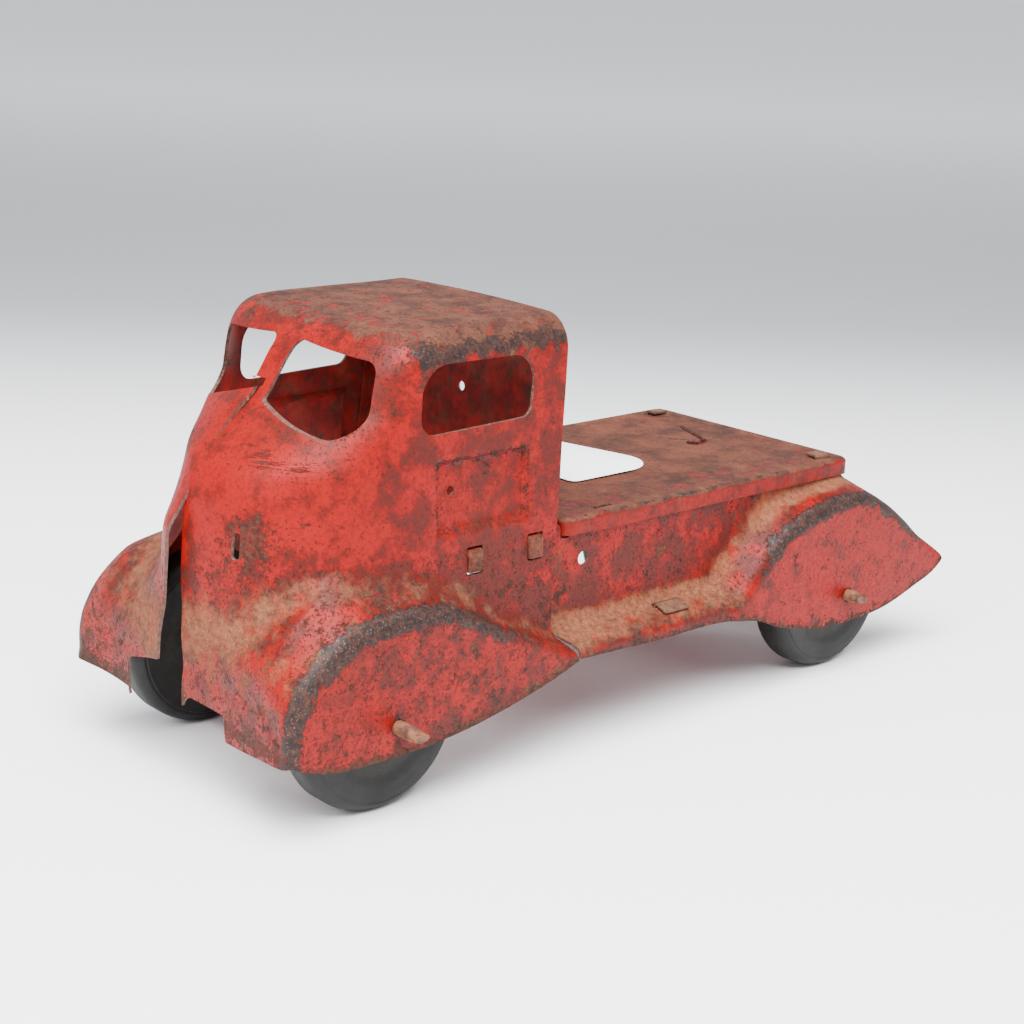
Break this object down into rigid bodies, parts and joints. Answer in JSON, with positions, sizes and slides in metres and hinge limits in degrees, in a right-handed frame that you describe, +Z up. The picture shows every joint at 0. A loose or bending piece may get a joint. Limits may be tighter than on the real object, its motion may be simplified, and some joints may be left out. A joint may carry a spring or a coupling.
{
  "type": "toy tow truck",
  "caption": "Vintage pressed-steel toy truck chassis and cab-over cab with free-rolling rubber wheels, worn red paint and a flat deck for a crane.",
  "frame": {"origin": "on the ground under the middle of the bounding box", "axes": "+X to the truck's left, +Y to its back (it drives towards -Y), +Z up"},
  "size_m": [0.139, 0.3043, 0.1414],
  "materials": {
    "red_paint": "worn satin red paint with rust",
    "red_paint_body": "worn satin red paint with rust and dust",
    "cab_inside_paint": "dull dark red paint",
    "rusty_deck_paint": "matt brown rust through old red paint",
    "rusty_steel": "bare steel with brown rust",
    "black_rubber": "old dusty black rubber",
    "white_paper": "blank white paper"
  },
  "bodies": {
    "truck": {"cab_shell": "red_paint", "cab_rear_wall": "cab_inside_paint", "body_shell": "red_paint_body", "deck_plate": "rusty_deck_paint", "cross_strap": "rusty_steel", "paper_label": "white_paper"},
    "front_axle": {"front_axle": "rusty_steel"},
    "rear_axle": {"rear_axle": "rusty_steel"},
    "wheel_front_left": {"wheel_front_left": "black_rubber"},
    "wheel_front_right": {"wheel_front_right": "black_rubber"},
    "wheel_rear_left": {"wheel_rear_left": "black_rubber"},
    "wheel_rear_right": {"wheel_rear_right": "black_rubber"}
  },
  "joints": [
    {"name": "front_axle_spin", "type": "hinge", "parent": "truck", "child": "front_axle", "pos_m": [0, -0.1096, 0.029], "axis": [1, 0, 0], "continuous": true},
    {"name": "rear_axle_spin", "type": "hinge", "parent": "truck", "child": "rear_axle", "pos_m": [0, 0.0962, 0.029], "axis": [1, 0, 0], "continuous": true},
    {"name": "wheel_front_left_spin", "type": "hinge", "parent": "front_axle", "child": "wheel_front_left", "pos_m": [0.0445, -0.1096, 0.029], "axis": [1, 0, 0], "continuous": true},
    {"name": "wheel_front_right_spin", "type": "hinge", "parent": "front_axle", "child": "wheel_front_right", "pos_m": [-0.0445, -0.1096, 0.029], "axis": [1, 0, 0], "continuous": true},
    {"name": "wheel_rear_left_spin", "type": "hinge", "parent": "rear_axle", "child": "wheel_rear_left", "pos_m": [0.0445, 0.0962, 0.029], "axis": [1, 0, 0], "continuous": true},
    {"name": "wheel_rear_right_spin", "type": "hinge", "parent": "rear_axle", "child": "wheel_rear_right", "pos_m": [-0.0445, 0.0962, 0.029], "axis": [1, 0, 0], "continuous": true}
  ]
}
